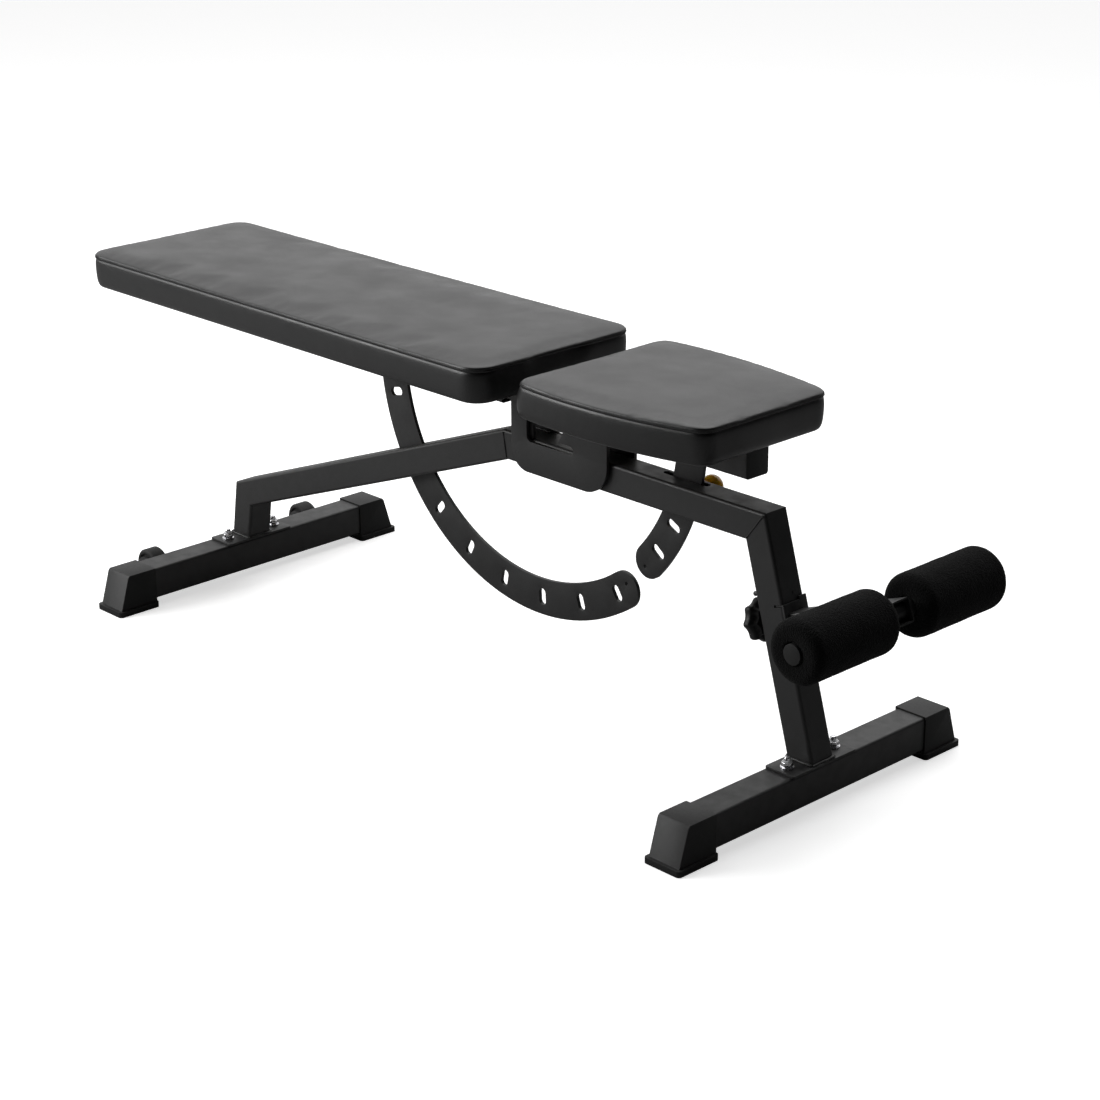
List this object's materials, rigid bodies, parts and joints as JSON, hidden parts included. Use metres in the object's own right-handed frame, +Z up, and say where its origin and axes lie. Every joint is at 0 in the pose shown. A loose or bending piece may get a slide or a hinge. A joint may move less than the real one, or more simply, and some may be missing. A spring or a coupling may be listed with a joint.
{
  "type": "adjustable decline bench",
  "caption": "Adjustable decline sit-up bench with a tilting back rest and seat on slotted arcs, foam leg rollers and rear transport wheels.",
  "frame": {"origin": "on the floor, at the middle of the bench's length and width", "axes": "+X towards the foam rollers, +Y to the side that has the pop pins, +Z up"},
  "size_m": [1.426, 0.516, 0.482],
  "materials": {
    "frame_coat": "satin black powder coat",
    "zinc": "bright zinc plate",
    "black_plastic": "moulded black, fine grain",
    "wheel_rubber": "matte",
    "yellow_plastic": "glossy amber",
    "vinyl": "soft black vinyl, satin",
    "plywood": "plain",
    "foam": "open-cell foam"
  },
  "bodies": {
    "frame": {"front_foot_tube": "frame_coat", "rear_foot_tube": "frame_coat", "front_cap_left": "black_plastic", "front_cap_right": "black_plastic", "rear_cap_left": "black_plastic", "rear_cap_right": "black_plastic", "front_post": "frame_coat", "front_beam": "frame_coat", "rear_beam": "frame_coat", "rear_post": "frame_coat", "base_plates": "frame_coat", "foot_bolts": "zinc", "foot_washers": "zinc", "foot_nuts": "zinc", "pivot_uprights": "frame_coat", "pivot_bolt": "frame_coat", "pivot_nut": "frame_coat", "pivot_washers": "frame_coat", "wheel_forks": "frame_coat", "wheel_bolts": "zinc", "wheel_nuts": "zinc", "back_pin_barrel": "frame_coat", "back_pin_spring": "zinc", "seat_pin_barrel": "frame_coat", "seat_pin_spring": "zinc", "roller_bracket": "frame_coat", "locating_pin": "frame_coat", "roller_stub": "frame_coat", "roller_tube": "frame_coat", "roller_tube_plugs": "black_plastic", "clamp_nut": "zinc"},
    "backrest": {"back_tube": "frame_coat", "back_tube_plug": "black_plastic", "back_hinge_sleeve": "frame_coat", "back_hinge_bushes": "black_plastic", "back_straps": "frame_coat", "back_arc": "frame_coat", "back_board": "plywood", "back_cushion": "vinyl", "back_screws": "zinc"},
    "seat": {"seat_tube": "frame_coat", "seat_tube_plug": "black_plastic", "seat_hinge_left": "frame_coat", "seat_hinge_right": "frame_coat", "seat_hinge_spacers": "frame_coat", "seat_straps": "frame_coat", "seat_arc": "frame_coat", "seat_board": "plywood", "seat_cushion": "vinyl", "seat_screws": "zinc"},
    "back_pop_pin": {"back_pin": "zinc", "back_pin_knob": "yellow_plastic"},
    "seat_pop_pin": {"seat_pin": "zinc", "seat_pin_knob": "yellow_plastic"},
    "left_roller": {"roller_left": "foam"},
    "right_roller": {"roller_right": "foam"},
    "left_wheel": {"wheel_left": "wheel_rubber"},
    "right_wheel": {"wheel_right": "wheel_rubber"},
    "star_knob": {"clamp_knob": "black_plastic", "clamp_stud": "zinc"}
  },
  "joints": [
    {"name": "backrest_tilt", "type": "hinge", "parent": "frame", "child": "backrest", "pos_m": [0.082, 0, 0.415], "axis": [0, 1, 0], "range_deg": [-20, 90]},
    {"name": "seat_tilt", "type": "hinge", "parent": "frame", "child": "seat", "pos_m": [0.082, 0, 0.415], "axis": [0, -1, 0], "range_deg": [0, 20.6]},
    {"name": "back_pin_pull", "type": "slide", "parent": "frame", "child": "back_pop_pin", "axis": [0, 1, 0], "range_m": [-0.008, 0], "deforming": ["back_pin_spring"]},
    {"name": "seat_pin_pull", "type": "slide", "parent": "frame", "child": "seat_pop_pin", "axis": [0, 1, 0], "range_m": [-0.008, 0], "deforming": ["seat_pin_spring"]},
    {"name": "left_roller_spin", "type": "hinge", "parent": "frame", "child": "left_roller", "pos_m": [0.6735, 0.097, 0.2784], "axis": [0, 1, 0], "continuous": true},
    {"name": "right_roller_spin", "type": "hinge", "parent": "frame", "child": "right_roller", "pos_m": [0.6735, -0.097, 0.2784], "axis": [0, 1, 0], "continuous": true},
    {"name": "left_wheel_spin", "type": "hinge", "parent": "frame", "child": "left_wheel", "pos_m": [-0.594, 0.141, 0.031], "axis": [0, 1, 0], "continuous": true},
    {"name": "right_wheel_spin", "type": "hinge", "parent": "frame", "child": "right_wheel", "pos_m": [-0.594, -0.141, 0.031], "axis": [0, 1, 0], "continuous": true},
    {"name": "star_knob_turn", "type": "hinge", "parent": "frame", "child": "star_knob", "pos_m": [0.49257, 0, 0.21812], "axis": [-0.9613, 0, -0.2756], "continuous": true}
  ]
}
